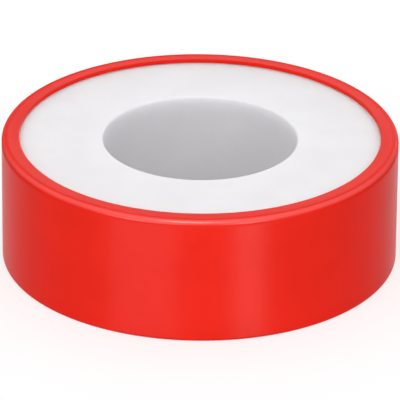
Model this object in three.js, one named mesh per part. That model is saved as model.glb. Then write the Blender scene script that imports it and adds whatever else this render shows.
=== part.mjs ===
// A roll of thread seal tape, lying on its rear side. A white spool carries the wound tape between its own
// front flange and a rear flange that snaps onto its hub. A red cover ring drops over both flanges from the
// front: it hides the tape, and its lip stops on the front flange.
// Millimetres. +Z is the roll's axis and points out of its front face. The origin is the centre of the plane
// that the roll lies on.
import * as THREE from "three";

// Tape
const TAPE_WIDTH = 12;
const TAPE_THICKNESS = 0.075;
const TAPE_SIDE_GAP = 0.15; // from the winding to each flange
const TAPE_HUB_GAP = 0.1; // from the winding to the hub
const LAP_TURNS = 1.15; // length of the loose last lap
const LAP_LIFT = 0.5; // how far the last lap springs off the winding
const LAP_LIFT_TURNS = 0.08; // the turn over which it springs off
const LAP_PITCH = 0.5; // how much further out it lies after each turn
const LAP_COVER_GAP = 0.85; // from the free end to the cover
const FREE_END_ANGLE = -60; // degrees from +X to the tape's free end

// Spool: front flange and hub in one
const BORE_DIAMETER = 24.5;
const BORE_EDGE_ROUNDING = 0.25;
const HUB_WALL = 1.35;
const FRONT_FLANGE_THICKNESS = 1.6;
const FLANGE_EDGE_ROUNDING = 0.35;

// Snap seat of the rear flange at the hub's end
const REAR_FLANGE_THICKNESS = 1.5;
const SNAP_OVERLAP = 0.35; // how far the hub's shoulder and catch stand over the rear flange's edge
const SNAP_PLAY = 0.2; // from the rear flange to the shoulder, and to the catch
const CATCH_THICKNESS = 0.4;
const CATCH_LEAD_IN = 0.25;
const REAR_BORE_ROUNDING = 0.2;

// Cover ring
const COVER_DIAMETER = 50;
const COVER_WALL = 1.2;
const LIP_REACH = 1.05; // from the cover's inner wall to the lip's edge
const LIP_THICKNESS = 0.4;
const LIP_PLAY = 0.1; // from the lip to the front flange
const LIP_EDGE_ROUNDING = 0.12;
const LIP_ROOT_ROUNDING = 0.2;
const RIM_ROUNDING = 0.75;
const FOOT_ROUNDING = 0.4;
const FOOT_LEAD_IN = 0.2;

// Running fit, both of the flanges in the cover and of the rear flange on its seat
const RUNNING_GAP = 0.2;

// Fineness of the round shapes
const TURN_STEPS = 64;
const ROUNDING_STEP = 0.3; // longest straight stretch round a rounded corner

// Radii that follow
const coverRadius = COVER_DIAMETER / 2;
const coverInnerRadius = coverRadius - COVER_WALL;
const lipRadius = coverInnerRadius - LIP_REACH;
const flangeRadius = coverInnerRadius - RUNNING_GAP;
const boreRadius = BORE_DIAMETER / 2;
const hubRadius = boreRadius + HUB_WALL;
const rearBoreRadius = hubRadius - SNAP_OVERLAP;
const seatRadius = rearBoreRadius - RUNNING_GAP;
const windingInnerRadius = hubRadius + TAPE_HUB_GAP;
const lapRoom = LAP_LIFT + LAP_PITCH * LAP_TURNS + TAPE_THICKNESS + LAP_COVER_GAP;
const windingRadius = coverInnerRadius - lapRoom;

// Heights that follow, from the hub's end up
const rearFlangeBottom = CATCH_THICKNESS + SNAP_PLAY;
const rearFlangeTop = rearFlangeBottom + REAR_FLANGE_THICKNESS;
const shoulderHeight = rearFlangeTop + SNAP_PLAY;
const tapeBottom = rearFlangeTop + TAPE_SIDE_GAP;
const frontFlangeBottom = tapeBottom + TAPE_WIDTH + TAPE_SIDE_GAP;
const frontFlangeTop = frontFlangeBottom + FRONT_FLANGE_THICKNESS;
const lipBottom = frontFlangeTop + LIP_PLAY;
const coverTop = lipBottom + LIP_THICKNESS;

// The points of a closed section through corners [radius, height, rounding]. A rounded corner becomes an arc
// that touches both its sides, and takes up at most half of the shorter one.
function sectionPoints(corners) {
  const count = corners.length;
  return corners.flatMap(([radius, height, rounding = 0], i) => {
    const corner = new THREE.Vector2(radius, height);
    if (rounding === 0) return [corner];
    const before = new THREE.Vector2(...corners[(i + count - 1) % count]).sub(corner);
    const after = new THREE.Vector2(...corners[(i + 1) % count]).sub(corner);
    const shorterSide = Math.min(before.length(), after.length());
    before.normalize();
    after.normalize();
    const halfAngle = Math.acos(before.dot(after)) / 2;
    const tangent = Math.min(rounding / Math.tan(halfAngle), 0.49 * shorterSide);
    const arcRadius = tangent * Math.tan(halfAngle);
    const middle = before.clone().add(after).normalize();
    const centre = corner.clone().addScaledVector(middle, arcRadius / Math.sin(halfAngle));
    const start = corner.clone().addScaledVector(before, tangent).sub(centre);
    const end = corner.clone().addScaledVector(after, tangent).sub(centre);
    const sweep = Math.atan2(start.cross(end), start.dot(end));
    const steps = Math.ceil((arcRadius * Math.abs(sweep)) / ROUNDING_STEP);
    return Array.from({ length: steps + 1 }, (_, step) => {
      const turn = (sweep * step) / steps;
      return start.clone().rotateAround(new THREE.Vector2(), turn).add(centre);
    });
  });
}

// A ring turned about +Z from the corners of its section, which run anticlockwise.
function turnedRing(corners) {
  const section = sectionPoints(corners);
  section.push(section[0].clone());
  return new THREE.LatheGeometry(section, TURN_STEPS).rotateX(Math.PI / 2);
}

function coverRing() {
  return turnedRing([
    [coverInnerRadius, 0, FOOT_LEAD_IN],
    [coverRadius, 0, FOOT_ROUNDING],
    [coverRadius, coverTop, RIM_ROUNDING],
    [lipRadius, coverTop, LIP_EDGE_ROUNDING],
    [lipRadius, lipBottom],
    [coverInnerRadius, lipBottom, LIP_ROOT_ROUNDING],
  ]);
}

function spool() {
  return turnedRing([
    [boreRadius, 0, BORE_EDGE_ROUNDING],
    [hubRadius - CATCH_LEAD_IN, 0],
    [hubRadius, CATCH_LEAD_IN],
    [hubRadius, CATCH_THICKNESS],
    [seatRadius, CATCH_THICKNESS],
    [seatRadius, shoulderHeight],
    [hubRadius, shoulderHeight],
    [hubRadius, frontFlangeBottom],
    [flangeRadius, frontFlangeBottom, FLANGE_EDGE_ROUNDING],
    [flangeRadius, frontFlangeTop, FLANGE_EDGE_ROUNDING],
    [boreRadius, frontFlangeTop, BORE_EDGE_ROUNDING],
  ]);
}

function rearFlange() {
  return turnedRing([
    [rearBoreRadius, 0, REAR_BORE_ROUNDING],
    [flangeRadius, 0, FLANGE_EDGE_ROUNDING],
    [flangeRadius, REAR_FLANGE_THICKNESS, FLANGE_EDGE_ROUNDING],
    [rearBoreRadius, REAR_FLANGE_THICKNESS],
  ]);
}

// How far the inner face of the last lap stands off the winding, a number of turns after it leaves it.
function lapLift(turns) {
  const eased = THREE.MathUtils.smoothstep(turns, 0, LAP_LIFT_TURNS);
  return LAP_LIFT * eased + LAP_PITCH * turns;
}

// A point of the tape seen along its axis, a number of turns after the last lap leaves the winding.
function tapePoint(radius, turns) {
  const freeEnd = THREE.MathUtils.degToRad(FREE_END_ANGLE);
  const angle = freeEnd + 2 * Math.PI * (turns - LAP_TURNS);
  return new THREE.Vector2(radius * Math.cos(angle), radius * Math.sin(angle));
}

// The tape's three runs of points, each a spiral: the top of the winding, which grows by one thickness in a
// turn and so leads on into the outer face of the last lap, that outer face, and the inner face under it.
const windingTurns = Array.from({ length: TURN_STEPS }, (_, step) => step / TURN_STEPS);
const lapSteps = Math.ceil(LAP_TURNS * TURN_STEPS);
const lapTurns = Array.from({ length: lapSteps }, (_, step) => step / TURN_STEPS).concat(LAP_TURNS);
const windingTop = windingTurns.map((t) => tapePoint(windingRadius + TAPE_THICKNESS * t, t));
const lapOuter = lapTurns.map((t) => tapePoint(windingRadius + TAPE_THICKNESS + lapLift(t), t));
const lapInner = lapTurns.map((t) => tapePoint(windingRadius + lapLift(t), t));

// The wound tape as one piece: a plain winding that its last lap leaves in an unbroken spiral.
function tape() {
  const outline = new THREE.Shape([...windingTop, ...lapOuter, ...lapInner.slice(1).reverse()]);
  outline.holes.push(new THREE.Path().absarc(0, 0, windingInnerRadius, 0, 2 * Math.PI));
  return new THREE.ExtrudeGeometry(outline, {
    depth: TAPE_WIDTH,
    bevelEnabled: false,
    curveSegments: TURN_STEPS / 2,
  });
}

// The least gap under the last lap, once it has sprung off, to the winding and to the lap itself.
function leastLapGap() {
  const gaps = lapTurns.flatMap((turns, i) => {
    if (turns < LAP_LIFT_TURNS) return [];
    const under = [...windingTop, ...lapOuter.filter((_, j) => turns - lapTurns[j] > 0.5)];
    return under.map((point) => point.distanceTo(lapInner[i]));
  });
  return Math.min(...gaps);
}

const tapeArea = Math.PI * (windingRadius ** 2 - windingInnerRadius ** 2);
console.log(`tape on the winding: ${(tapeArea / TAPE_THICKNESS / 1000).toFixed(1)} m`);
console.log(`least gap of the tape's last lap to itself: ${leastLapGap().toFixed(2)} mm`);

const redPlastic = new THREE.MeshStandardMaterial({ color: 0xe8281c, roughness: 0.32, metalness: 0 });
const whitePlastic = new THREE.MeshStandardMaterial({ color: 0xefedf0, roughness: 0.5, metalness: 0 });
const whiteFilm = new THREE.MeshStandardMaterial({ color: 0xf4f3f0, roughness: 0.6, metalness: 0 });

function piece(name, geometry, material, height) {
  const mesh = new THREE.Mesh(geometry, material);
  mesh.name = name;
  mesh.position.z = height;
  return mesh;
}

const roll = new THREE.Group();
const woundSpool = new THREE.Group();
woundSpool.add(piece("spool", spool(), whitePlastic, 0));
woundSpool.add(piece("tape", tape(), whiteFilm, tapeBottom));
roll.add(woundSpool);
roll.add(piece("rear_flange", rearFlange(), whitePlastic.clone(), rearFlangeBottom));
roll.add(piece("cover_ring", coverRing(), redPlastic, 0));

export default roll;
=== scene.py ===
import math

import bpy
import numpy as np
from mathutils import Matrix, Vector


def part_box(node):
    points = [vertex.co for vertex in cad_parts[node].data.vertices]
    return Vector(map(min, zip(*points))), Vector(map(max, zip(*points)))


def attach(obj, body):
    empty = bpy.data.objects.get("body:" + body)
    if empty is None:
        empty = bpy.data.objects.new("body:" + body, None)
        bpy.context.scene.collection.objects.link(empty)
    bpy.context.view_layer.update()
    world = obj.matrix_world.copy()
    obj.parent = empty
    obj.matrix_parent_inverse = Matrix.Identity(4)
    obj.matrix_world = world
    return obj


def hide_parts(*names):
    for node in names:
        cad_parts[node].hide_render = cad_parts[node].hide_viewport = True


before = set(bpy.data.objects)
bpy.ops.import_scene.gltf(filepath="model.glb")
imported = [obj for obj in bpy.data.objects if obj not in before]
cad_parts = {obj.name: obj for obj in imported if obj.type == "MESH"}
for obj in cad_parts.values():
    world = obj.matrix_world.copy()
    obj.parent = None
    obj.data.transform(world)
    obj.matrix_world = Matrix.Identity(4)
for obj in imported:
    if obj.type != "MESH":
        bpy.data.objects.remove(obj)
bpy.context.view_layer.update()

MM = 0.001

# Sizes taken from the frame
cover_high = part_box("cover_ring")[1]
spool_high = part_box("spool")[1]
rear_low, rear_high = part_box("rear_flange")
tape_low, tape_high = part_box("tape")
COVER_RADIUS = cover_high.x
COVER_TOP = cover_high.z
FLANGE_RADIUS = spool_high.x
FACE_HEIGHT = spool_high.z
REAR_BOTTOM = rear_low.z
REAR_TOP = rear_high.z
TAPE_BOTTOM = tape_low.z
TAPE_TOP = tape_high.z
TAPE_WIDTH = TAPE_TOP - TAPE_BOTTOM

# Sizes of the mouldings that the frame's boxes don't give
COVER_WALL = 1.2 * MM
LIP_REACH = 1.05 * MM
RIM_ROUNDING = 0.75 * MM
FOOT_ROUNDING = 0.4 * MM
FOOT_LEAD_IN = 0.2 * MM
LIP_EDGE_ROUNDING = 0.12 * MM
LIP_ROOT_ROUNDING = 0.2 * MM
BORE_RADIUS = 12.25 * MM
BORE_EDGE_ROUNDING = 0.25 * MM
HUB_WALL = 1.35 * MM
FRONT_FLANGE_THICKNESS = 1.6 * MM
FLANGE_EDGE_ROUNDING = 0.35 * MM
SNAP_OVERLAP = 0.35 * MM
SNAP_PLAY = 0.2 * MM
CATCH_THICKNESS = 0.4 * MM
CATCH_LEAD_IN = 0.25 * MM
RUNNING_GAP = 0.2 * MM
SHARP_EDGE_ROUNDING = 0.05 * MM

# The lip all but rests on the spool's face, so that no dark gap shows between red and white
LIP_CLEARANCE = 0.01 * MM

# Marks that the mould leaves on the rear flange
EJECTOR_MARKS = 4
EJECTOR_RADIUS = 1.3 * MM
EJECTOR_DEPTH = 0.06 * MM
MARK_EDGE = 0.3 * MM
MARK_CIRCLE = 18.6 * MM
GATE_RADIUS = 0.9 * MM
GATE_HEIGHT = 0.12 * MM

# Sizes of the tape
TAPE_THICKNESS = 0.075 * MM
TAPE_HUB_GAP = 0.1 * MM
LAP_TURNS = 1.15
LAP_LIFT = 0.5 * MM
LAP_LIFT_TURNS = 0.08
LAP_PITCH = 0.5 * MM
LAP_COVER_GAP = 0.85 * MM
FREE_END_ANGLE = math.radians(-60)

# How the loose lap lies: all of it stays well inside its room under the cover
SWELL_HEIGHT = 0.06 * MM
FLUTE_HEIGHT = 0.025 * MM
FRILL_HEIGHT = 0.09 * MM
CURL_HEIGHT = 0.22 * MM
CURL_TURNS = 0.07
EDGE_WANDER = 0.05 * MM
TEAR_TURNS = 0.004
NECK_SHARE = 0.05
WINDING_SINK = 0.02 * MM

# Fineness of the surfaces
RING_STEPS = 360
LAP_STEPS = 720
LAP_WIDTH_POINTS = 32

# Radii and heights that follow
COVER_INNER_RADIUS = COVER_RADIUS - COVER_WALL
LIP_RADIUS = COVER_INNER_RADIUS - LIP_REACH
LIP_BOTTOM = FACE_HEIGHT + LIP_CLEARANCE
HUB_RADIUS = BORE_RADIUS + HUB_WALL
REAR_BORE_RADIUS = HUB_RADIUS - SNAP_OVERLAP
SEAT_RADIUS = REAR_BORE_RADIUS - RUNNING_GAP
FACE_UNDERSIDE = FACE_HEIGHT - FRONT_FLANGE_THICKNESS
SHOULDER_HEIGHT = REAR_TOP + SNAP_PLAY
WINDING_INNER_RADIUS = HUB_RADIUS + TAPE_HUB_GAP
WINDING_RADIUS = COVER_INNER_RADIUS - LAP_COVER_GAP - TAPE_THICKNESS - LAP_LIFT - LAP_PITCH * LAP_TURNS


# Surfaces

def smoothstep(share):
    """3 s^2 - 2 s^3, with s held between 0 and 1."""
    s = np.clip(share, 0.0, 1.0)
    return s * s * (3.0 - 2.0 * s)


def wave(turns):
    """Sine of a number of turns."""
    return np.sin(2 * math.pi * turns)


def rounded_section(corners, arc_points=12, side_points=8):
    """Closed outline through corners (radius, height, rounding), in order.

    Where two sides meet at the half angle h, the arc's centre lies on their bisector,
    rounding / sin(h) from the corner, and the arc touches each side rounding / tan(h) from it.
    Points on the straight stretches follow a smoothstep, so they crowd towards the arcs
    and the flat stretches shade flat.
    """
    corner = np.array([c[:2] for c in corners])
    rounding = np.array([c[2] for c in corners])[:, None]
    before = np.roll(corner, 1, axis=0) - corner
    after = np.roll(corner, -1, axis=0) - corner
    before /= np.linalg.norm(before, axis=1, keepdims=True)
    after /= np.linalg.norm(after, axis=1, keepdims=True)
    half = np.arccos(np.sum(before * after, axis=1, keepdims=True)) / 2
    bisector = (before + after) / np.linalg.norm(before + after, axis=1, keepdims=True)
    centre = corner + bisector * rounding / np.sin(half)
    start = corner + before * rounding / np.tan(half)
    end = corner + after * rounding / np.tan(half)
    spoke = start - centre
    far_spoke = end - centre
    turn_way = np.sign(spoke[:, :1] * far_spoke[:, 1:] - spoke[:, 1:] * far_spoke[:, :1])
    angle = turn_way * (math.pi - 2 * half) * np.linspace(0, 1, arc_points)
    arc_x = centre[:, :1] + spoke[:, :1] * np.cos(angle) - spoke[:, 1:] * np.sin(angle)
    arc_y = centre[:, 1:] + spoke[:, :1] * np.sin(angle) + spoke[:, 1:] * np.cos(angle)
    share = smoothstep(np.linspace(0, 1, side_points + 2)[1:-1])
    reach = np.roll(start, -1, axis=0) - end
    side_x = end[:, :1] + reach[:, :1] * share
    side_y = end[:, 1:] + reach[:, 1:] * share
    along_x = np.concatenate([arc_x, side_x], axis=1).ravel()
    along_y = np.concatenate([arc_y, side_y], axis=1).ravel()
    return np.stack([along_x, along_y], axis=1)


def turned(section, relief=None):
    """Section carried once round +Z.

    Point (j, i) = (r_i cos a_j, r_i sin a_j, z_i) with a_j = 2 pi j / steps. relief takes the radii,
    heights and angles and gives back the heights as the mould leaves them.
    """
    angle = np.linspace(0, 2 * math.pi, RING_STEPS, endpoint=False)[:, None]
    radius, height = section[None, :, 0], section[None, :, 1]
    if relief is not None:
        height = relief(radius, height, angle)
    points = [radius * np.cos(angle), radius * np.sin(angle), height + 0.0 * angle]
    return np.stack(np.broadcast_arrays(*points), axis=-1)


def grid_quads(rows, columns, close_rows):
    """Corner numbers of a grid's quads. Its columns close on themselves, and its rows do if asked."""
    row = np.arange(rows if close_rows else rows - 1)[:, None]
    column = np.arange(columns)[None, :]
    near, far = row * columns, (row + 1) % rows * columns
    next_column = (column + 1) % columns
    corners = [near + column, far + column, far + next_column, near + next_column]
    return np.stack(np.broadcast_arrays(*corners), axis=-1).reshape(-1, 4)


def run_uvs(along, across):
    """UV of each quad's corners: u is the run along the film and v the run across it.

    Each run has one value more than there are quads that way, so no quad folds back at a seam.
    """
    u = np.stack([along[:-1], along[1:], along[1:], along[:-1]], axis=-1)[:, None, :]
    v = np.stack([across[:-1], across[:-1], across[1:], across[1:]], axis=-1)[None, :, :]
    return np.stack(np.broadcast_arrays(u, v), axis=-1).reshape(-1, 2)


def make_piece(name, points, quads, body, node, material, uvs=None):
    """A smooth mesh piece that rides on a body and stands for a node of the frame."""
    mesh = bpy.data.meshes.new(name)
    mesh.from_pydata(points.reshape(-1, 3).tolist(), [], quads.tolist())
    if uvs is not None:
        layer = mesh.uv_layers.new(name="run")
        layer.data.foreach_set("uv", uvs.astype(np.float32).ravel())
    mesh.shade_smooth()
    mesh.materials.append(material)
    piece = bpy.data.objects.new(name, mesh)
    bpy.context.scene.collection.objects.link(piece)
    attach(piece, body)
    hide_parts(node)
    return piece


# Materials

# Colours and roughness, each as a pair for the low and high parts of a pattern
RED_COLOURS = ((0.77, 0.0185, 0.0095), (0.81, 0.0205, 0.0105))
RED_ROUGHNESS = (0.31, 0.34)
WHITE_COLOURS = ((0.808, 0.794, 0.822), (0.838, 0.824, 0.852))
WHITE_ROUGHNESS = (0.56, 0.62)
FILM_COLOURS = ((0.82, 0.815, 0.80), (0.88, 0.876, 0.862))
FILM_ROUGHNESS = (0.36, 0.46)

# Parts of a noise or mask that a pattern is spread over
BLOTCH_SPREAD = (0.3, 0.7)
STREAK_SPREAD = (0.35, 0.68)
HAIR_SPREAD = (0.64, 0.78)
PATCH_SPREAD = (0.45, 0.65)
NEAR_SPREAD = (0.5, 1.0)
GRIP_SPREAD = (-0.1, 1.0)
OUTER_SIDE_SPREAD = (-0.3, -0.12)

# Lengths of the turning marks and the hairline scuffs, as shares of their radius
MARK_LENGTH = 0.8
HAIR_LENGTH = 0.16

# Streaks of the film, and the grain beside them
STREAK_LENGTH = 14 * MM
STREAK_WIDTH = 0.16 * MM
FILM_GRAIN_SHARE = 0.3

# How far the rim is burnished and dulled, and how much
BURNISH_REACH = 0.8 * RIM_ROUNDING
BURNISH = 0.95
DULL_REACH = 1.6 * RIM_ROUNDING
EDGE_DULLING = 0.4

# Roughness that scuffs add, depth of the bumps, and how strongly light bends
RED_SCUFF_DULLING = 0.1
WHITE_SCUFF_DULLING = 0.08
RED_BUMP_DEPTH = 0.0015 * MM
WHITE_BUMP_DEPTH = 0.003 * MM
FILM_BUMP_DEPTH = 0.02 * MM
PLASTIC_IOR = 1.46
FILM_IOR = 1.36


def place(tree, kind, values=None, **settings):
    """A node of that kind, with its settings and inputs: a socket is linked, a number is set."""
    node = tree.nodes.new(kind)
    for setting, value in settings.items():
        setattr(node, setting, value)
    for socket, value in (values or {}).items():
        if isinstance(value, bpy.types.NodeSocket):
            tree.links.new(value, node.inputs[socket])
        else:
            node.inputs[socket].default_value = value
    return node


def reckon(tree, operation, first, second=0.0):
    """Output of a Math node on two sockets or numbers."""
    return place(tree, "ShaderNodeMath", {0: first, 1: second}, operation=operation).outputs[0]


def spread(tree, value, low, high, to_low=0.0, to_high=1.0):
    """Output of a Map Range node from low and high to to_low and to_high, eased at both ends."""
    values = {"Value": value, "From Min": low, "From Max": high, "To Min": to_low, "To Max": to_high}
    return place(tree, "ShaderNodeMapRange", values, interpolation_type="SMOOTHSTEP").outputs[0]


def value_group(name, inputs, outputs):
    """An empty node group of value sockets, with its two ends."""
    group = bpy.data.node_groups.new(name, "ShaderNodeTree")
    for socket, default in inputs.items():
        made = group.interface.new_socket(socket, in_out="INPUT", socket_type="NodeSocketFloat")
        made.default_value = default
    for socket in outputs:
        group.interface.new_socket(socket, in_out="OUTPUT", socket_type="NodeSocketFloat")
    return group, group.nodes.new("NodeGroupInput"), group.nodes.new("NodeGroupOutput")


def use_group(tree, group, values=None):
    """A group node in the tree, with its own values."""
    return place(tree, "ShaderNodeGroup", values, node_tree=group)


def from_the_axis(tree):
    """The way across from the axis to a spot of the piece, its radius and its height."""
    spot = place(tree, "ShaderNodeTexCoord").outputs["Object"]
    parts = place(tree, "ShaderNodeSeparateXYZ", {0: spot})
    level_parts = {"X": parts.outputs["X"], "Y": parts.outputs["Y"]}
    flat = place(tree, "ShaderNodeCombineXYZ", level_parts).outputs[0]
    radius = place(tree, "ShaderNodeVectorMath", {0: flat}, operation="LENGTH").outputs["Value"]
    return flat, radius, parts.outputs["Z"]


def round_the_axis(tree, along, across):
    """Pattern vector round the axis: the way out over along, and radius less height over across.

    A pattern on it is drawn out round the axis and has no seam. It changes with height on a wall
    and with radius on a face.
    """
    flat, radius, height = from_the_axis(tree)
    way = place(tree, "ShaderNodeVectorMath", {0: flat}, operation="NORMALIZE").outputs[0]
    way_parts = place(tree, "ShaderNodeSeparateXYZ", {0: way})
    crossing = reckon(tree, "SUBTRACT", radius, height)
    vector = {
        "X": reckon(tree, "DIVIDE", way_parts.outputs["X"], along),
        "Y": reckon(tree, "DIVIDE", way_parts.outputs["Y"], along),
        "Z": reckon(tree, "DIVIDE", crossing, across),
    }
    return place(tree, "ShaderNodeCombineXYZ", vector).outputs[0]


def moulded_skin_group():
    """Skin of a moulding: a fine grain for the bump, and soft blotches some millimetres across."""
    group, start, end = value_group(
        "moulded_skin", {"Grain Size": 0.3 * MM, "Blotch Size": 7 * MM}, ["Grain", "Blotch"])
    spot = place(group, "ShaderNodeTexCoord").outputs["Object"]
    for size, result, detail in [("Grain Size", "Grain", 3.0), ("Blotch Size", "Blotch", 2.0)]:
        scale = reckon(group, "DIVIDE", 1.0, start.outputs[size])
        noise = place(group, "ShaderNodeTexNoise", {"Vector": spot, "Scale": scale, "Detail": detail})
        group.links.new(noise.outputs["Fac"], end.inputs[result])
    return group


def turning_marks_group():
    """Faint rings from the turned mould: noise drawn out round the axis, Spacing apart."""
    group, start, end = value_group("turning_marks", {"Spacing": 0.12 * MM}, ["Marks"])
    vector = round_the_axis(group, MARK_LENGTH, start.outputs["Spacing"])
    noise = place(group, "ShaderNodeTexNoise", {"Vector": vector, "Scale": 1.0, "Detail": 3.0})
    group.links.new(noise.outputs["Fac"], end.inputs["Marks"])
    return group


def handling_scuffs_group():
    """Hairline scuffs: sparse peaks of a noise drawn out round the axis, kept to some patches."""
    group, start, end = value_group(
        "handling_scuffs", {"Hair Width": 0.1 * MM, "Patch Size": 9 * MM}, ["Scuffs"])
    vector = round_the_axis(group, HAIR_LENGTH, start.outputs["Hair Width"])
    hairs = place(group, "ShaderNodeTexNoise", {"Vector": vector, "Scale": 1.0, "Detail": 1.0})
    spot = place(group, "ShaderNodeTexCoord").outputs["Object"]
    patch_scale = reckon(group, "DIVIDE", 1.0, start.outputs["Patch Size"])
    patches = place(group, "ShaderNodeTexNoise", {"Vector": spot, "Scale": patch_scale, "Detail": 2.0})
    sparse = spread(group, hairs.outputs["Fac"], *HAIR_SPREAD)
    kept = spread(group, patches.outputs["Fac"], *PATCH_SPREAD)
    group.links.new(reckon(group, "MULTIPLY", sparse, kept), end.inputs["Scuffs"])
    return group


def rim_wear_group():
    """Masks of the edge at the corner circle of that Radius and Height, eased to 0 at Reach from it.

    Wear is where handling burnishes the edge: most at the front, where the roll is gripped, and
    nothing behind. Edge is where its rounding is dull: all of it behind, and at the front only
    its outer side.
    """
    group, start, end = value_group(
        "rim_wear", {"Radius": 25 * MM, "Height": 16.5 * MM, "Reach": 0.8 * MM}, ["Wear", "Edge"])
    flat, radius, height = from_the_axis(group)
    out = reckon(group, "SUBTRACT", radius, start.outputs["Radius"])
    up = reckon(group, "SUBTRACT", height, start.outputs["Height"])
    section = place(group, "ShaderNodeCombineXYZ", {"X": out, "Y": up}).outputs[0]
    distance = place(group, "ShaderNodeVectorMath", {0: section}, operation="LENGTH").outputs["Value"]
    share = reckon(group, "DIVIDE", distance, start.outputs["Reach"])
    way = place(group, "ShaderNodeVectorMath", {0: flat}, operation="NORMALIZE").outputs[0]
    front = {0: way, 1: (0.0, -1.0, 0.0)}
    facing = place(group, "ShaderNodeVectorMath", front, operation="DOT_PRODUCT").outputs["Value"]
    near = spread(group, share, *NEAR_SPREAD, 1.0, 0.0)
    gripped = spread(group, facing, *GRIP_SPREAD)
    group.links.new(reckon(group, "MULTIPLY", near, gripped), end.inputs["Wear"])
    below = reckon(group, "DIVIDE", up, start.outputs["Reach"])
    outer_side = spread(group, below, *OUTER_SIDE_SPREAD, 1.0, 0.0)
    dull = reckon(group, "MAXIMUM", outer_side, reckon(group, "SUBTRACT", 1.0, gripped))
    group.links.new(reckon(group, "MULTIPLY", near, dull), end.inputs["Edge"])
    return group


def material_with_shader(name):
    """A new material, its node tree and its Principled shader."""
    material = bpy.data.materials.new(name)
    material.use_nodes = True
    return material, material.node_tree, material.node_tree.nodes["Principled BSDF"]


def between(tree, factor, first, second):
    """Output of a colour mix from first to second, which are the node's inputs 6 and 7."""
    values = {0: factor, 6: (*first, 1.0), 7: (*second, 1.0)}
    return place(tree, "ShaderNodeMix", values, data_type="RGBA").outputs[2]


def rough_up(tree, shader, height, distance):
    """Bump of that height and depth on the shader's normal."""
    bump = place(tree, "ShaderNodeBump", {"Strength": 1.0, "Distance": distance, "Height": height})
    tree.links.new(bump.outputs["Normal"], shader.inputs["Normal"])


def red_cover_plastic(skin, marks, scuffs, wear):
    """Glossy red moulding, its gloss drawn out upwards by the mould's turning marks.

    Its rim edge is burnished at the front and dull elsewhere.
    """
    material, tree, shader = material_with_shader("red_cover_plastic")
    surface = use_group(tree, skin, {"Grain Size": 0.35 * MM, "Blotch Size": 8 * MM})
    rings = use_group(tree, marks, {"Spacing": 0.14 * MM})
    scuffed = use_group(tree, scuffs, {"Hair Width": 0.09 * MM, "Patch Size": 10 * MM})
    blotch = spread(tree, surface.outputs["Blotch"], *BLOTCH_SPREAD)
    colour = between(tree, blotch, *RED_COLOURS)
    tree.links.new(colour, shader.inputs["Base Color"])
    dulled = reckon(tree, "MULTIPLY", scuffed.outputs["Scuffs"], RED_SCUFF_DULLING)
    glossy = reckon(tree, "ADD", spread(tree, blotch, 0.0, 1.0, *RED_ROUGHNESS), dulled)
    wide_rim = {"Radius": COVER_RADIUS, "Height": COVER_TOP, "Reach": DULL_REACH}
    edge = use_group(tree, wear, wide_rim).outputs["Edge"]
    roughness = reckon(tree, "ADD", glossy, reckon(tree, "MULTIPLY", edge, EDGE_DULLING))
    tree.links.new(roughness, shader.inputs["Roughness"])
    rim = {"Radius": COVER_RADIUS, "Height": COVER_TOP, "Reach": BURNISH_REACH}
    burnish = use_group(tree, wear, rim).outputs["Wear"]
    tree.links.new(reckon(tree, "MULTIPLY", burnish, BURNISH), shader.inputs["Coat Weight"])
    height = reckon(tree, "ADD", surface.outputs["Grain"], rings.outputs["Marks"])
    rough_up(tree, shader, height, RED_BUMP_DEPTH)
    shader.inputs["IOR"].default_value = PLASTIC_IOR
    shader.inputs["Specular IOR Level"].default_value = 0.06
    shader.inputs["Anisotropic"].default_value = 0.85
    shader.inputs["Anisotropic Rotation"].default_value = 0.25
    shader.inputs["Coat Roughness"].default_value = 0.26
    shader.inputs["Coat IOR"].default_value = 1.8
    return material


def white_spool_plastic(skin, marks, scuffs):
    """Nearly matte white moulding that lets light in, so its edges glow softly."""
    material, tree, shader = material_with_shader("white_spool_plastic")
    surface = use_group(tree, skin, {"Grain Size": 0.22 * MM, "Blotch Size": 6 * MM})
    rings = use_group(tree, marks, {"Spacing": 0.2 * MM})
    scuffed = use_group(tree, scuffs, {"Hair Width": 0.12 * MM, "Patch Size": 8 * MM})
    blotch = spread(tree, surface.outputs["Blotch"], *BLOTCH_SPREAD)
    colour = between(tree, blotch, *WHITE_COLOURS)
    tree.links.new(colour, shader.inputs["Base Color"])
    dulled = reckon(tree, "MULTIPLY", scuffed.outputs["Scuffs"], WHITE_SCUFF_DULLING)
    roughness = reckon(tree, "ADD", spread(tree, blotch, 0.0, 1.0, *WHITE_ROUGHNESS), dulled)
    tree.links.new(roughness, shader.inputs["Roughness"])
    height = reckon(tree, "ADD", surface.outputs["Grain"], rings.outputs["Marks"])
    rough_up(tree, shader, height, WHITE_BUMP_DEPTH)
    shader.inputs["IOR"].default_value = PLASTIC_IOR
    shader.inputs["Specular IOR Level"].default_value = 0.3
    shader.inputs["Subsurface Weight"].default_value = 1.0
    shader.inputs["Subsurface Radius"].default_value = (0.9, 0.95, 1.0)
    shader.inputs["Subsurface Scale"].default_value = 2.4 * MM
    return material


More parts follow.
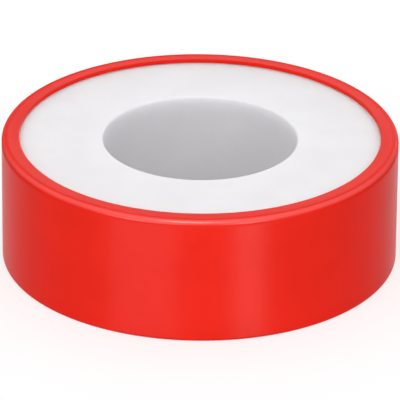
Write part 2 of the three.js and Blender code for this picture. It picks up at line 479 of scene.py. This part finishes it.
def white_tape_film(skin):
    """Soft white film with a waxy sheen. Streaks from its stretching run along it, on its own UV."""
    material, tree, shader = material_with_shader("white_tape_film")
    run = place(tree, "ShaderNodeUVMap", uv_map="run").outputs["UV"]
    streak_scale = (1 / STREAK_LENGTH, 1 / STREAK_WIDTH, 1.0)
    drawn_out = place(tree, "ShaderNodeMapping", {"Vector": run, "Scale": streak_scale}).outputs["Vector"]
    streak_noise = {"Vector": drawn_out, "Scale": 1.0, "Detail": 3.0}
    streaks = place(tree, "ShaderNodeTexNoise", streak_noise).outputs["Fac"]
    surface = use_group(tree, skin, {"Grain Size": 0.18 * MM, "Blotch Size": 4 * MM})
    streaked = spread(tree, streaks, *STREAK_SPREAD)
    colour = between(tree, streaked, *FILM_COLOURS)
    tree.links.new(colour, shader.inputs["Base Color"])
    roughness = spread(tree, surface.outputs["Blotch"], *BLOTCH_SPREAD, *FILM_ROUGHNESS)
    tree.links.new(roughness, shader.inputs["Roughness"])
    grain = reckon(tree, "MULTIPLY", surface.outputs["Grain"], FILM_GRAIN_SHARE)
    height = reckon(tree, "ADD", streaks, grain)
    rough_up(tree, shader, height, FILM_BUMP_DEPTH)
    shader.inputs["IOR"].default_value = FILM_IOR
    shader.inputs["Specular IOR Level"].default_value = 0.25
    shader.inputs["Subsurface Weight"].default_value = 0.2
    shader.inputs["Subsurface Radius"].default_value = (1.0, 1.0, 0.95)
    shader.inputs["Subsurface Scale"].default_value = 0.4 * MM
    return material


skin = moulded_skin_group()
marks = turning_marks_group()
scuffs = handling_scuffs_group()
wear = rim_wear_group()
red = red_cover_plastic(skin, marks, scuffs, wear)
white = white_spool_plastic(skin, marks, scuffs)
film = white_tape_film(skin)


# Mouldings

def closed_ring(name, section, body, node, material, relief=None):
    """A turned piece, as a grid that closes both round the axis and round its section."""
    points = turned(section, relief)
    quads = grid_quads(points.shape[0], points.shape[1], close_rows=True)
    return make_piece(name, points, quads, body, node, material)


def make_cover():
    """A wall with a rounded foot and rim, and a thin lip turned in over the spool's face."""
    section = rounded_section([
        (COVER_INNER_RADIUS, 0.0, FOOT_LEAD_IN),
        (COVER_RADIUS, 0.0, FOOT_ROUNDING),
        (COVER_RADIUS, COVER_TOP, RIM_ROUNDING),
        (LIP_RADIUS, COVER_TOP, LIP_EDGE_ROUNDING),
        (LIP_RADIUS, LIP_BOTTOM, SHARP_EDGE_ROUNDING),
        (COVER_INNER_RADIUS, LIP_BOTTOM, LIP_ROOT_ROUNDING),
    ])
    closed_ring("red_cover", section, "cover", "cover_ring", red)


def make_spool():
    """The hub with the snap seat at its foot, and the front flange in one with it."""
    section = rounded_section([
        (BORE_RADIUS, 0.0, BORE_EDGE_ROUNDING),
        (HUB_RADIUS - CATCH_LEAD_IN, 0.0, SHARP_EDGE_ROUNDING),
        (HUB_RADIUS, CATCH_LEAD_IN, SHARP_EDGE_ROUNDING),
        (HUB_RADIUS, CATCH_THICKNESS, SHARP_EDGE_ROUNDING),
        (SEAT_RADIUS, CATCH_THICKNESS, SHARP_EDGE_ROUNDING),
        (SEAT_RADIUS, SHOULDER_HEIGHT, SHARP_EDGE_ROUNDING),
        (HUB_RADIUS, SHOULDER_HEIGHT, SHARP_EDGE_ROUNDING),
        (HUB_RADIUS, FACE_UNDERSIDE, SHARP_EDGE_ROUNDING),
        (FLANGE_RADIUS, FACE_UNDERSIDE, FLANGE_EDGE_ROUNDING),
        (FLANGE_RADIUS, FACE_HEIGHT, FLANGE_EDGE_ROUNDING),
        (BORE_RADIUS, FACE_HEIGHT, BORE_EDGE_ROUNDING),
    ])
    closed_ring("white_spool", section, "spool", "spool", white)


def rear_face_marks(radius, height, angle):
    """Heights of the rear flange with the mould's marks on its outer face.

    A mark is a round spot about a point of the mark circle: 1 inside its radius, eased to 0 over
    its edge. Ejector pins press theirs in, and the gate leaves a low nub between two of them.
    """
    rear_face = height < REAR_BOTTOM + SHARP_EDGE_ROUNDING

    def spot(spot_angle, spot_radius):
        """1 inside that radius of the spot at that angle, eased to 0 over its edge."""
        x = radius * np.cos(angle) - MARK_CIRCLE * np.cos(spot_angle)
        y = radius * np.sin(angle) - MARK_CIRCLE * np.sin(spot_angle)
        return smoothstep((spot_radius - np.hypot(x, y)) / MARK_EDGE + 0.5)

    pins = sum(spot(2 * math.pi * k / EJECTOR_MARKS, EJECTOR_RADIUS) for k in range(EJECTOR_MARKS))
    gate = spot(math.pi / EJECTOR_MARKS, GATE_RADIUS)
    return height + rear_face * (EJECTOR_DEPTH * pins - GATE_HEIGHT * gate)


def make_rear_flange():
    """A flat disc with a rounded rim and a small lead-in at its bore."""
    section = rounded_section([
        (REAR_BORE_RADIUS, REAR_BOTTOM, FOOT_LEAD_IN),
        (FLANGE_RADIUS, REAR_BOTTOM, FLANGE_EDGE_ROUNDING),
        (FLANGE_RADIUS, REAR_TOP, FLANGE_EDGE_ROUNDING),
        (REAR_BORE_RADIUS, REAR_TOP, SHARP_EDGE_ROUNDING),
    ], side_points=48)
    closed_ring(
        "white_rear_flange", section, "rear_flange", "rear_flange", white,
        relief=rear_face_marks)


# Tape

def make_winding():
    """The wound film under its last lap, as a ring of film between hub and lap."""
    outer = WINDING_RADIUS - WINDING_SINK
    section = rounded_section([
        (WINDING_INNER_RADIUS, TAPE_BOTTOM, SHARP_EDGE_ROUNDING),
        (outer, TAPE_BOTTOM, SHARP_EDGE_ROUNDING),
        (outer, TAPE_TOP, SHARP_EDGE_ROUNDING),
        (WINDING_INNER_RADIUS, TAPE_TOP, SHARP_EDGE_ROUNDING),
    ], arc_points=4, side_points=12)
    points = turned(section)
    quads = grid_quads(points.shape[0], points.shape[1], close_rows=True)
    along = np.linspace(0.0, 2 * math.pi * WINDING_RADIUS, RING_STEPS + 1)
    steps = np.linalg.norm(np.roll(section, -1, axis=0) - section, axis=1)
    across = np.concatenate([[0.0], np.cumsum(steps)])
    make_piece("tape_winding", points, quads, "spool", "tape", film, run_uvs(along, across))


def lap_lift(turns):
    """How far the last lap's inner face stands off the winding: an eased step, then a pitch per turn."""
    return LAP_LIFT * smoothstep(turns / LAP_LIFT_TURNS) + LAP_PITCH * turns


def lap_lie(turns, share):
    """How far out the loose lap lies from a plain spiral, at a number of turns and a share of its width.

    A slow swell, flutes that wander along the film, a frill that grows with the fourth power
    towards both edges, and a curl at the free end. The first three ease in where the lap leaves
    the winding. Their waves have uneven counts, so that they don't line up.
    """
    swell = SWELL_HEIGHT * wave(2.6 * turns + 0.3)
    wander = 0.5 * wave(1.7 * turns)
    depth = 1 + 0.6 * wave(2.3 * turns + 0.4)
    flutes = FLUTE_HEIGHT * wave(2.7 * share + wander + 0.13) * depth
    edge = (2 * share - 1) ** 4
    frill = FRILL_HEIGHT * edge * wave(15 * turns + 0.4 * wave(3.1 * turns) + 0.45 * share)
    curl = CURL_HEIGHT * smoothstep((turns - LAP_TURNS) / CURL_TURNS + 1) * (0.35 + 0.65 * share)
    return (swell + flutes + frill) * smoothstep(turns / LAP_LIFT_TURNS) + curl


def make_last_lap():
    """The film's thin section carried along a spiral, closed at both ends.

    At turns t and width share w: angle = free end + 2 pi (t - lap turns), radius = winding
    + lift(t) + lie(t, w), plus one film thickness on the outer face, height = bottom + width w.
    The edges wander a little, the free end is torn in a wavy line, and the film narrows towards it.
    Columns go up the outer face and back down the inner one.
    """
    share = np.linspace(0.0, 1.0, LAP_WIDTH_POINTS)
    across = np.concatenate([share, share[::-1]])[None, :]
    outer = np.concatenate([np.ones_like(share), np.zeros_like(share)])[None, :]
    plain_turns = np.linspace(0.0, LAP_TURNS, LAP_STEPS)[:, None]
    near_end = smoothstep((plain_turns - LAP_TURNS) / CURL_TURNS + 1)
    ragged = 1 + wave(0.8 * across + 0.1) + 0.35 * wave(3.7 * across) + 0.2 * wave(9.3 * across + 0.3)
    turns = plain_turns - TEAR_TURNS * ragged * near_end
    angle = FREE_END_ANGLE + 2 * math.pi * (turns - LAP_TURNS)
    radius = WINDING_RADIUS + lap_lift(turns) + lap_lie(turns, across) + TAPE_THICKNESS * outer
    narrowed = across + NECK_SHARE * near_end ** 2 * (0.5 - across)
    height = TAPE_BOTTOM + TAPE_WIDTH * narrowed + EDGE_WANDER * wave(1.9 * turns + 0.2)
    points = np.stack([radius * np.cos(angle), radius * np.sin(angle), height], axis=-1)
    columns = points.shape[1]
    outer_column = np.arange(LAP_WIDTH_POINTS - 1)
    inner_column = columns - 1 - outer_column
    end = np.stack([outer_column, outer_column + 1, inner_column - 1, inner_column], axis=-1)
    quads = np.concatenate([
        grid_quads(LAP_STEPS, columns, close_rows=False),
        end,
        end[:, ::-1] + (LAP_STEPS - 1) * columns,
    ])
    along = plain_turns[:, 0] * 2 * math.pi * WINDING_RADIUS
    run_across = np.concatenate([across[0] * TAPE_WIDTH, [0.0]])
    end_u = np.repeat([along[0], along[-1]], len(end) * 4)
    end_share = np.stack([share[:-1], share[1:], share[1:], share[:-1]], axis=-1).ravel()
    end_v = np.tile(end_share * TAPE_WIDTH, 2)
    uvs = np.concatenate([run_uvs(along, run_across), np.stack([end_u, end_v], axis=-1)])
    make_piece("tape_last_lap", points, quads, "spool", "tape", film, uvs)


make_cover()
make_spool()
make_rear_flange()
make_winding()
make_last_lap()


# Stage, light and camera

# The floor keeps a share of its shading and glows, up to plain white outside the second radius
FLOOR_SIZE = 8.0
FLOOR_DROP = 0.02 * MM
FLOOR_COLOUR = (0.36, 0.36, 0.36, 1.0)
FLOOR_SHADE_SHARE = 0.38
FLOOR_GLOW = 0.63
SHADOW_REACH = 0.05
FLOOR_WHITE_RADIUS = 0.2
WORLD_LEVEL = 0.73


def softbox(name, azimuth, elevation, distance, width, height, level, in_gloss=True, in_body=True):
    """A lamp aimed at the roll. Azimuth 0 is the camera's side and positive is to its right, in degrees.

    A white surface that faces it there is lit to that level, which takes level * pi^2 * distance^2
    watts. in_gloss says whether it shows in the gloss of a surface, and in_body whether it lights
    the surface itself.
    """
    lamp = bpy.data.lights.new(name, "AREA")
    lamp.shape = "RECTANGLE"
    lamp.size = width
    lamp.size_y = height
    lamp.energy = level * math.pi ** 2 * distance ** 2
    round_angle = math.radians(azimuth)
    up_angle = math.radians(elevation)
    way = Vector((
        math.sin(round_angle) * math.cos(up_angle),
        -math.cos(round_angle) * math.cos(up_angle),
        math.sin(up_angle),
    ))
    holder = bpy.data.objects.new(name, lamp)
    holder.location = way * distance
    holder.rotation_mode = "QUATERNION"
    holder.rotation_quaternion = way.to_track_quat("Z", "Y")
    holder.visible_camera = False
    holder.visible_glossy = in_gloss
    holder.visible_diffuse = in_body
    bpy.context.scene.collection.objects.link(holder)


def seen_directly(tree):
    """1 for a ray from the camera, or off a glossy or through a clear surface, and 0 for soft light."""
    path = place(tree, "ShaderNodeLightPath")
    mirrored = reckon(tree, "MAXIMUM", path.outputs["Is Glossy Ray"], path.outputs["Is Transmission Ray"])
    return reckon(tree, "MAXIMUM", path.outputs["Is Camera Ray"], mirrored)


def floor_material():
    """A pale floor that shows as white, with the roll's soft shadow kept on it near the roll."""
    material = bpy.data.materials.new("pale_floor")
    material.use_nodes = True
    tree = material.node_tree
    tree.nodes.clear()
    pale = place(tree, "ShaderNodeBsdfDiffuse", {"Color": FLOOR_COLOUR})
    shaded = place(tree, "ShaderNodeBsdfDiffuse", {"Color": (FLOOR_SHADE_SHARE,) * 3 + (1.0,)})
    radius = from_the_axis(tree)[1]
    glow_level = spread(tree, radius, SHADOW_REACH, FLOOR_WHITE_RADIUS, FLOOR_GLOW, 1.0)
    glow = place(tree, "ShaderNodeEmission", {"Strength": glow_level})
    shown = place(tree, "ShaderNodeAddShader", {0: shaded.outputs[0], 1: glow.outputs[0]})
    shaders = {0: seen_directly(tree), 1: pale.outputs[0], 2: shown.outputs[0]}
    mix = place(tree, "ShaderNodeMixShader", shaders)
    place(tree, "ShaderNodeOutputMaterial", {"Surface": mix.outputs[0]})
    return material


def make_floor():
    """One level face, just under the roll."""
    side = FLOOR_SIZE / 2
    corners = [(x * side, y * side, -FLOOR_DROP) for x, y in ((-1, -1), (1, -1), (1, 1), (-1, 1))]
    mesh = bpy.data.meshes.new("floor")
    mesh.from_pydata(corners, [], [(0, 1, 2, 3)])
    mesh.materials.append(floor_material())
    floor = bpy.data.objects.new("floor", mesh)
    bpy.context.scene.collection.objects.link(floor)


def make_world():
    """Even soft light from all round, from a room that shows as white."""
    world = bpy.data.worlds.new("studio")
    world.use_nodes = True
    tree = world.node_tree
    tree.nodes.clear()
    white_light = (1.0, 1.0, 1.0, 1.0)
    soft = place(tree, "ShaderNodeBackground", {"Color": white_light, "Strength": WORLD_LEVEL})
    shown = place(tree, "ShaderNodeBackground", {"Color": white_light, "Strength": 1.0})
    shaders = {0: seen_directly(tree), 1: soft.outputs[0], 2: shown.outputs[0]}
    mix = place(tree, "ShaderNodeMixShader", shaders)
    place(tree, "ShaderNodeOutputWorld", {"Surface": mix.outputs[0]})
    bpy.context.scene.world = world


# The camera, fitted to the photograph's outlines of rim, bore and foot
IMAGE_PIXELS = 400
CAMERA_DISTANCE = 0.64
CAMERA_ELEVATION = math.radians(25.9)
CAMERA_ROLL = math.radians(0.5)
PIXELS_PER_METRE = 7900.0
AIM_PIXEL = (199.7, 192.8)
SENSOR_WIDTH = 36.0
CLIP_START = 0.01


def make_camera():
    """A long lens aimed so that the roll's middle falls on its pixel of the photograph."""
    camera_data = bpy.data.cameras.new("camera")
    camera_data.sensor_width = SENSOR_WIDTH
    camera_data.lens = SENSOR_WIDTH * PIXELS_PER_METRE * CAMERA_DISTANCE / IMAGE_PIXELS
    camera_data.clip_start = CLIP_START
    camera = bpy.data.objects.new("camera", camera_data)
    back = Vector((0.0, -math.cos(CAMERA_ELEVATION), math.sin(CAMERA_ELEVATION)))
    turn = back.to_track_quat("Z", "Y").to_matrix().to_4x4() @ Matrix.Rotation(CAMERA_ROLL, 4, "Z")
    right, up = turn.col[0].to_3d(), turn.col[1].to_3d()
    middle = Vector((0.0, 0.0, COVER_TOP / 2))
    aside = (IMAGE_PIXELS / 2 - AIM_PIXEL[0]) / PIXELS_PER_METRE
    down = (IMAGE_PIXELS / 2 - AIM_PIXEL[1]) / PIXELS_PER_METRE
    spot = middle + back * CAMERA_DISTANCE + right * aside - up * down
    camera.matrix_world = Matrix.Translation(spot) @ turn
    bpy.context.scene.collection.objects.link(camera)
    bpy.context.scene.camera = camera


make_floor()
make_world()
softbox("top_softbox", azimuth=-8, elevation=55, distance=0.8, width=0.22, height=0.16, level=0.18)
softbox("overhead_softbox", azimuth=0, elevation=80, distance=0.9, width=1.2, height=1.2, level=0.095)
softbox("front_softbox", azimuth=-3, elevation=0.8, distance=0.6, width=0.34, height=0.013, level=0.32,
        in_gloss=False)
softbox("high_front_softbox", azimuth=0, elevation=35, distance=0.8, width=1.2, height=0.3, level=0.155,
        in_gloss=False)
softbox("left_band", azimuth=-30, elevation=0.9, distance=0.6, width=0.4, height=0.015, level=2.0,
        in_body=False)
softbox("right_band", azimuth=27, elevation=0.9, distance=0.6, width=0.16, height=0.015, level=1.52,
        in_body=False)
softbox("back_softbox", azimuth=170, elevation=6, distance=0.8, width=0.6, height=0.12, level=0.36,
        in_body=False)
softbox("rear_softbox", azimuth=180, elevation=3, distance=0.9, width=0.9, height=0.06, level=0.2,
        in_gloss=False)
make_camera()
bpy.context.scene.view_settings.view_transform = "Standard"
